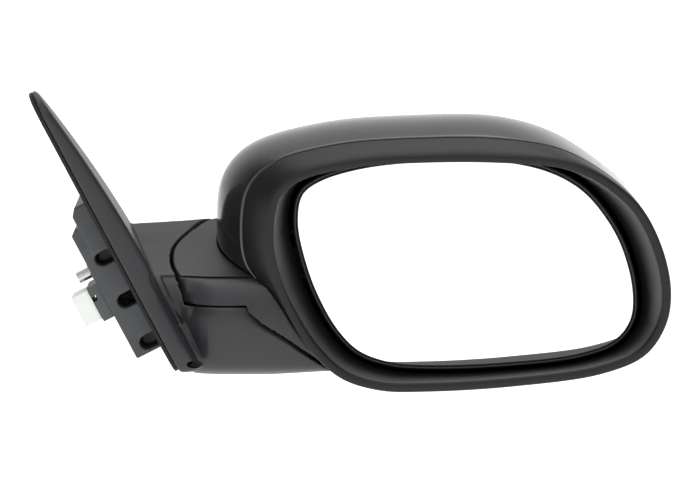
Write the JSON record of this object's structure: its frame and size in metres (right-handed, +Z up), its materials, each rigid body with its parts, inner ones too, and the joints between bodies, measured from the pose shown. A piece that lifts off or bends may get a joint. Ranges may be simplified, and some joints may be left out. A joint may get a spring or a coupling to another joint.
{
  "type": "car side mirror",
  "caption": "Passenger-side car door mirror: triangular sail base, arm with fold joint, rounded head with powered tilting glass in a bezel and a painted cap.",
  "frame": {"origin": "on the rear side of the door gasket's flat seat face, level with the middle of the arm", "axes": "+X outboard, away from the door; +Y towards the front of the car; +Z up. The glass faces -Y."},
  "size_m": [0.3288, 0.1183, 0.1583],
  "materials": {
    "gloss_black": "smooth satin-gloss black paint",
    "textured_black": "fine-grained moulded black plastic",
    "bracket_grey": "glass-filled dark grey nylon, slightly shiny",
    "rubber": "matt foamed rubber",
    "steel": "zinc-plated steel",
    "brass": "turned brass",
    "grey_nylon": "smooth grey-green nylon",
    "white_nylon": "natural off-white nylon",
    "cable_black": "black cable sleeve",
    "inner_black": "plain black moulding",
    "mirror_glass": "silvered glass with ground edge"
  },
  "bodies": {
    "base": {"base_cover": "textured_black", "mount_bracket": "bracket_grey", "door_gasket": "rubber", "mount_stud": "steel", "thread_insert_upper": "brass", "thread_insert_lower": "brass", "cover_screw_1": "steel", "cover_screw_2": "steel", "connector_clip": "grey_nylon", "connector_body": "white_nylon", "connector_terminals": "brass", "base_harness": "cable_black", "detent_plate": "steel", "slide_ring": "inner_black"},
    "head": {"head_frame": "bracket_grey", "housing_bezel": "textured_black", "painted_cap": "gloss_black", "neck_housing": "textured_black", "pivot_post": "steel", "fold_spring": "steel", "spring_washer": "steel", "push_nut": "steel", "head_harness": "cable_black", "actuator_plug": "inner_black", "actuator_case": "inner_black", "actuator_cover": "inner_black", "actuator_screw_1": "steel", "actuator_screw_2": "steel", "actuator_screw_3": "steel", "tilt_motor": "steel", "pan_motor": "steel", "ball_post": "white_nylon"},
    "gimbal": {"gimbal_ring": "white_nylon"},
    "glass": {"actuator_plate": "inner_black", "glass_carrier": "inner_black", "adhesive_pad": "rubber", "mirror_glass": "mirror_glass"},
    "tilt_screw": {"tilt_jackscrew": "white_nylon"},
    "pan_screw": {"pan_jackscrew": "white_nylon"},
    "tilt_wheel": {"tilt_gear": "white_nylon"},
    "pan_wheel": {"pan_gear": "white_nylon"},
    "tilt_worm_shaft": {"tilt_worm": "brass"},
    "pan_worm_shaft": {"pan_worm": "brass"}
  },
  "joints": [
    {"name": "head_fold", "type": "hinge", "parent": "base", "child": "head", "pos_m": [0.056, 0.034, -0.02], "axis": [0, 0, 1], "range_deg": [-58, 44]},
    {"name": "glass_pan", "type": "hinge", "parent": "head", "child": "gimbal", "pos_m": [0.178, 0.04, -0.006], "axis": [0, 0, 1], "range_deg": [-8, 8]},
    {"name": "glass_tilt", "type": "hinge", "parent": "gimbal", "child": "glass", "pos_m": [0.178, 0.04, -0.006], "axis": [1, 0, 0], "range_deg": [-8, 8]},
    {"name": "tilt_screw_slide", "type": "slide", "parent": "head", "child": "tilt_screw", "axis": [0, 1, 0], "range_m": [-0.0037, 0.0037]},
    {"name": "pan_screw_slide", "type": "slide", "parent": "head", "child": "pan_screw", "axis": [0, 1, 0], "range_m": [-0.0043, 0.0043]},
    {"name": "tilt_gear_spin", "type": "hinge", "parent": "head", "child": "tilt_wheel", "pos_m": [0.178, 0.058, 0.02], "axis": [0, 1, 0], "range_deg": [-330, 330]},
    {"name": "pan_gear_spin", "type": "hinge", "parent": "head", "child": "pan_wheel", "pos_m": [0.208, 0.058, -0.006], "axis": [0, 1, 0], "range_deg": [-380, 380]},
    {"name": "tilt_worm_spin", "type": "hinge", "parent": "head", "child": "tilt_worm_shaft", "pos_m": [0.1662, 0.058, 0.02], "axis": [0, 0, 1], "range_deg": [-4600, 4600]},
    {"name": "pan_worm_spin", "type": "hinge", "parent": "head", "child": "pan_worm_shaft", "pos_m": [0.208, 0.058, -0.0178], "axis": [1, 0, 0], "range_deg": [-5300, 5300]}
  ],
  "couplings": [
    {"joint": "tilt_screw_slide", "follows": "glass_tilt", "m_per_rad": -0.026},
    {"joint": "pan_screw_slide", "follows": "glass_pan", "m_per_rad": 0.03},
    {"joint": "tilt_gear_spin", "follows": "glass_tilt", "ratio": -40.84},
    {"joint": "pan_gear_spin", "follows": "glass_pan", "ratio": 47.12},
    {"joint": "tilt_worm_spin", "follows": "glass_tilt", "ratio": 571.8},
    {"joint": "pan_worm_spin", "follows": "glass_pan", "ratio": 659.7}
  ]
}
